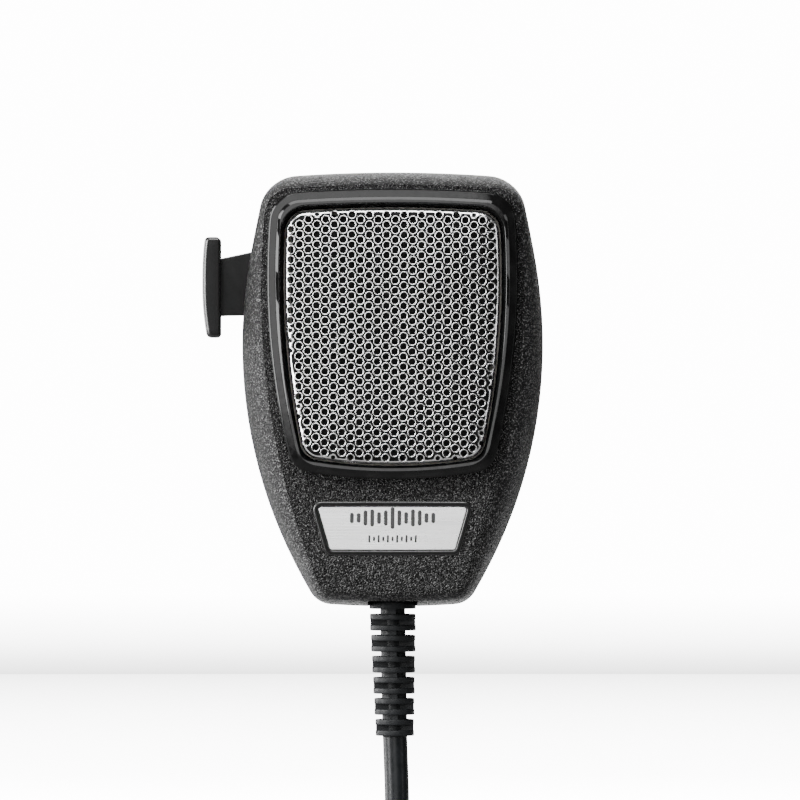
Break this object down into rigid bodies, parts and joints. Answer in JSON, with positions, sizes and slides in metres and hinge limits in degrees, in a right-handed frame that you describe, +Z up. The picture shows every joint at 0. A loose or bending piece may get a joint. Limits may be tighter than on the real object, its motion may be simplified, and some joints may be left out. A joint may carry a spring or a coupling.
{
  "type": "hand microphone",
  "caption": "Palm-held radio microphone with a side push-to-talk lever, domed metal grille, hang-up button, strain relief and corded screw-on plug.",
  "frame": {"origin": "centre of the outer face of the hang-up button on the back of the housing, the face that rests against the clip", "axes": "+Y out of the back of the microphone, so its grille faces -Y; +Z up along the housing, away from the cord; +X to the right when looking at the grille"},
  "size_m": [0.1011, 0.0425, 0.2204],
  "materials": {
    "housing_plastic": "coarse leather-like grain, satin",
    "lever_plastic": "smooth satin",
    "frame_gloss": "polished",
    "grille_metal": "bright, perforated",
    "plate_aluminium": "brushed sideways",
    "boot_rubber": "moulded, satin",
    "cord_jacket": "smooth extruded vinyl",
    "button_steel": "turned, plated",
    "zinc_steel": "zinc plated",
    "cloth": "fine woven",
    "inner_plastic": "moulded",
    "capsule_metal": "drawn",
    "film": "clear film",
    "copper": "enamelled winding",
    "magnet": "sintered",
    "board_green": "solder mask",
    "insert_plastic": "moulded phenolic",
    "brass": "bright",
    "capacitor_sleeve": "shrunk sleeve",
    "resistor_body": "dipped",
    "wire_red": "extruded vinyl",
    "wire_white": "extruded vinyl",
    "wire_black": "extruded vinyl",
    "wire_blue": "extruded vinyl",
    "plug_chrome": "nickel plated",
    "strap_fabric": "hook and loop strap"
  },
  "bodies": {
    "housing": {"front_shell": "housing_plastic", "rear_shell": "housing_plastic", "case_screw_1": "zinc_steel", "case_screw_2": "zinc_steel", "case_screw_3": "zinc_steel", "case_screw_4": "zinc_steel", "hang_button": "button_steel", "hang_button_washer": "zinc_steel", "hang_button_screw": "zinc_steel", "grille_bezel": "frame_gloss", "grille_screen": "grille_metal", "dust_cloth": "cloth", "nameplate": "plate_aluminium", "capsule_holder": "inner_plastic", "capsule_front_cap": "capsule_metal", "capsule_ring": "boot_rubber", "capsule_diaphragm": "film", "capsule_voice_coil": "copper", "capsule_pole_plate": "zinc_steel", "capsule_magnet": "magnet", "capsule_case": "capsule_metal", "capsule_terminal_board": "board_green", "ptt_pivot_pin": "zinc_steel", "switch_body": "inner_plastic", "switch_terminal_1": "brass", "switch_terminal_2": "brass", "switch_terminal_3": "brass", "circuit_board": "board_green", "board_screw_1": "zinc_steel", "board_screw_2": "zinc_steel", "board_capacitor": "capacitor_sleeve", "board_resistor": "resistor_body", "lead_wire_1": "wire_white", "lead_wire_2": "wire_red", "lead_wire_3": "wire_blue", "lead_wire_4": "wire_black", "capsule_lead_1": "wire_red", "capsule_lead_2": "wire_black", "strain_relief": "boot_rubber", "cord_inner_end": "cord_jacket", "cord_clamp": "zinc_steel", "cord_clamp_screw_1": "zinc_steel", "cord_clamp_screw_2": "zinc_steel", "cord": "cord_jacket", "cord_tail": "cord_jacket", "cord_coil": "cord_jacket", "cord_tie": "strap_fabric", "plug_shell": "plug_chrome", "plug_insert": "insert_plastic", "plug_contact_1": "brass", "plug_contact_2": "brass", "plug_contact_3": "brass", "plug_contact_4": "brass", "plug_clamp": "plug_chrome", "plug_clamp_screw_1": "zinc_steel", "plug_clamp_screw_2": "zinc_steel"},
    "ptt": {"ptt_lever": "lever_plastic", "ptt_return_spring": "zinc_steel"},
    "plunger": {"switch_plunger": "insert_plastic"},
    "coupling_ring": {"plug_ring": "plug_chrome"}
  },
  "joints": [
    {"name": "ptt_hinge", "type": "hinge", "parent": "housing", "child": "ptt", "pos_m": [-0.0262, -0.022, -0.0217], "axis": [0, 1, 0], "range_deg": [0, 7], "stiffness_Nm_per_rad": 0.3, "springref_deg": -11.46},
    {"name": "plunger_slide", "type": "slide", "parent": "housing", "child": "plunger", "axis": [1, 0, 0], "range_m": [0, 0.0015]},
    {"name": "plug_ring_spin", "type": "hinge", "parent": "housing", "child": "coupling_ring", "pos_m": [0.051, -0.0108, -0.18], "axis": [0, 0, 1], "continuous": true}
  ],
  "couplings": [
    {"joint": "plunger_slide", "follows": "ptt_hinge", "m_per_rad": 0.012}
  ]
}
